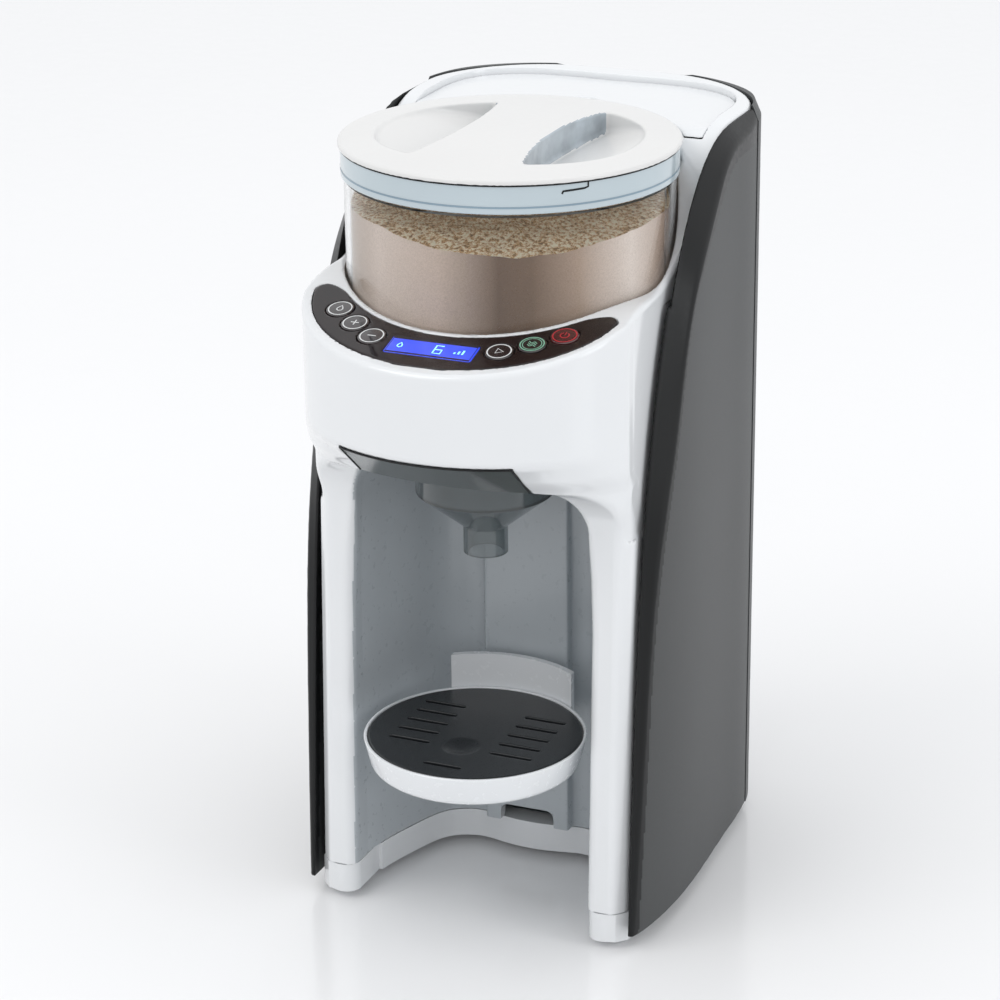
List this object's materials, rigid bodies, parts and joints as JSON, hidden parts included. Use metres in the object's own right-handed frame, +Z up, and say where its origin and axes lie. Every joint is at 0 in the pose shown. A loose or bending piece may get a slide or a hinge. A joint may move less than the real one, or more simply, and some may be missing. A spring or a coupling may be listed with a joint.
{
  "type": "formula dispenser",
  "caption": "Counter-top infant formula maker: clear powder hopper with twist lid, curved control panel, open bottle bay with funnel and drip tray, rear water tank.",
  "frame": {"origin": "centre of the bounding box at table level, under the middle of the machine", "axes": "+Z is up, -Y is the front, where the bottle bay and the control panel face the user, and +X is the user's right"},
  "size_m": [0.1744, 0.249, 0.3605],
  "materials": {
    "white_shell": "gloss",
    "dark_satin": "satin",
    "black_gloss": "gloss",
    "fascia_black": "gloss",
    "button_clear": "gloss",
    "display_glass": "gloss",
    "display_body": "matte",
    "circuit": "satin",
    "smoke_plastic": "gloss",
    "clear_plastic": "gloss",
    "blue_grey_ring": "gloss",
    "powder": "matte",
    "grille_dark": "satin",
    "tray_white": "gloss",
    "seal_rubber": "matte",
    "foot_rubber": "matte",
    "steel": "satin",
    "inner_grey": "matte",
    "nylon": "satin",
    "hose_silicone": "matte",
    "black_plastic": "matte"
  },
  "bodies": {
    "housing": {"front_shell": "white_shell", "top_deck": "white_shell", "bay_liner": "white_shell", "bay_ceiling": "white_shell", "tray_rail": "white_shell", "base": "white_shell", "base_screws": "steel", "feet": "foot_rubber", "side_panel_left": "dark_satin", "side_panel_right": "dark_satin", "edge_trim_left": "black_gloss", "edge_trim_right": "black_gloss", "rear_panel": "dark_satin", "control_fascia": "fascia_black", "display_lens": "display_glass", "display_module": "display_body", "control_board": "circuit", "gear_case": "nylon", "idler_pin": "steel", "dosing_motor": "steel", "hopper_seat": "white_shell", "powder_chute": "nylon", "valve_socket": "nylon", "water_pump": "inner_grey", "heater": "steel", "power_board": "circuit", "water_nozzle": "hose_silicone", "outlet_hose": "hose_silicone", "feed_hose": "hose_silicone", "power_inlet": "black_plastic"},
    "hopper": {"powder_container": "clear_plastic", "scraper": "nylon", "formula_powder": "powder"},
    "doser": {"dosing_wheel": "nylon"},
    "stirrer": {"stirring_wheel": "nylon"},
    "spindle": {"drive_spindle": "steel", "spindle_gear": "nylon"},
    "idler": {"idler_gear": "nylon"},
    "motor_rotor": {"motor_pinion": "nylon", "motor_shaft": "steel"},
    "lid_seal": {"lid_gasket": "seal_rubber"},
    "lid": {"lid_cap": "white_shell", "lid_ring": "blue_grey_ring"},
    "tank": {"water_tank": "clear_plastic", "tank_valve": "nylon"},
    "tank_lid": {"tank_lid": "white_shell"},
    "valve_plunger": {"valve_plunger": "nylon"},
    "funnel": {"mixing_funnel": "smoke_plastic", "funnel_cover": "smoke_plastic"},
    "tray": {"tray_bowl": "tray_white", "tray_bracket": "tray_white"},
    "grille": {"drip_grille": "grille_dark"},
    "button_outer_left": {"button_outer_left": "button_clear"},
    "button_mid_left": {"button_mid_left": "button_clear"},
    "button_inner_left": {"button_inner_left": "button_clear"},
    "button_outer_right": {"button_outer_right": "button_clear"},
    "button_mid_right": {"button_mid_right": "button_clear"},
    "button_inner_right": {"button_inner_right": "button_clear"}
  },
  "joints": [
    {"name": "hopper_lift", "type": "slide", "parent": "housing", "child": "hopper", "axis": [0, 0, 1], "range_m": [0, 0.11]},
    {"name": "dosing_wheel_turn", "type": "hinge", "parent": "hopper", "child": "doser", "pos_m": [0, -0.0185, 0.272], "axis": [0, 0, 1], "continuous": true},
    {"name": "stirring_wheel_turn", "type": "hinge", "parent": "hopper", "child": "stirrer", "pos_m": [0, -0.0185, 0.285], "axis": [0, 0, 1], "continuous": true},
    {"name": "spindle_turn", "type": "hinge", "parent": "housing", "child": "spindle", "pos_m": [0, -0.0185, 0.251], "axis": [0, 0, 1], "continuous": true},
    {"name": "idler_turn", "type": "hinge", "parent": "housing", "child": "idler", "pos_m": [0, 0.0085, 0.251], "axis": [0, 0, 1], "continuous": true},
    {"name": "motor_turn", "type": "hinge", "parent": "housing", "child": "motor_rotor", "pos_m": [0, 0.0265, 0.251], "axis": [0, 0, 1], "continuous": true},
    {"name": "lid_lift", "type": "slide", "parent": "hopper", "child": "lid_seal", "axis": [0, 0, 1], "range_m": [0, 0.06]},
    {"name": "lid_turn", "type": "hinge", "parent": "lid_seal", "child": "lid", "pos_m": [0, -0.0185, 0.356], "axis": [0, 0, 1], "range_deg": [-22, 0]},
    {"name": "tank_lift", "type": "slide", "parent": "housing", "child": "tank", "axis": [0, 0, 1], "range_m": [0, 0.23]},
    {"name": "tank_lid_lift", "type": "slide", "parent": "tank", "child": "tank_lid", "axis": [0, 0, 1], "range_m": [0, 0.05]},
    {"name": "valve_plunger_lift", "type": "slide", "parent": "tank", "child": "valve_plunger", "axis": [0, 0, 1], "range_m": [0, 0.0025], "stiffness_N_per_m": 60},
    {"name": "funnel_slide", "type": "slide", "parent": "housing", "child": "funnel", "axis": [0, -1, 0], "range_m": [0, 0.11]},
    {"name": "tray_slide", "type": "slide", "parent": "housing", "child": "tray", "axis": [0, -1, 0], "range_m": [0, 0.09]},
    {"name": "grille_lift", "type": "slide", "parent": "tray", "child": "grille", "axis": [0, 0, 1], "range_m": [0, 0.03]},
    {"name": "press_outer_left", "type": "slide", "parent": "housing", "child": "button_outer_left", "axis": [0, 0.2588, -0.9659], "range_m": [0, 0.0007], "stiffness_N_per_m": 300},
    {"name": "press_mid_left", "type": "slide", "parent": "housing", "child": "button_mid_left", "axis": [0, 0.2588, -0.9659], "range_m": [0, 0.0007], "stiffness_N_per_m": 300},
    {"name": "press_inner_left", "type": "slide", "parent": "housing", "child": "button_inner_left", "axis": [0, 0.2588, -0.9659], "range_m": [0, 0.0007], "stiffness_N_per_m": 300},
    {"name": "press_outer_right", "type": "slide", "parent": "housing", "child": "button_outer_right", "axis": [0, 0.2588, -0.9659], "range_m": [0, 0.0007], "stiffness_N_per_m": 300},
    {"name": "press_mid_right", "type": "slide", "parent": "housing", "child": "button_mid_right", "axis": [0, 0.2588, -0.9659], "range_m": [0, 0.0007], "stiffness_N_per_m": 300},
    {"name": "press_inner_right", "type": "slide", "parent": "housing", "child": "button_inner_right", "axis": [0, 0.2588, -0.9659], "range_m": [0, 0.0007], "stiffness_N_per_m": 300}
  ],
  "couplings": [
    {"joint": "stirring_wheel_turn", "follows": "dosing_wheel_turn", "ratio": 1},
    {"joint": "spindle_turn", "follows": "dosing_wheel_turn", "ratio": 1},
    {"joint": "idler_turn", "follows": "dosing_wheel_turn", "ratio": -2},
    {"joint": "motor_turn", "follows": "dosing_wheel_turn", "ratio": 2}
  ]
}
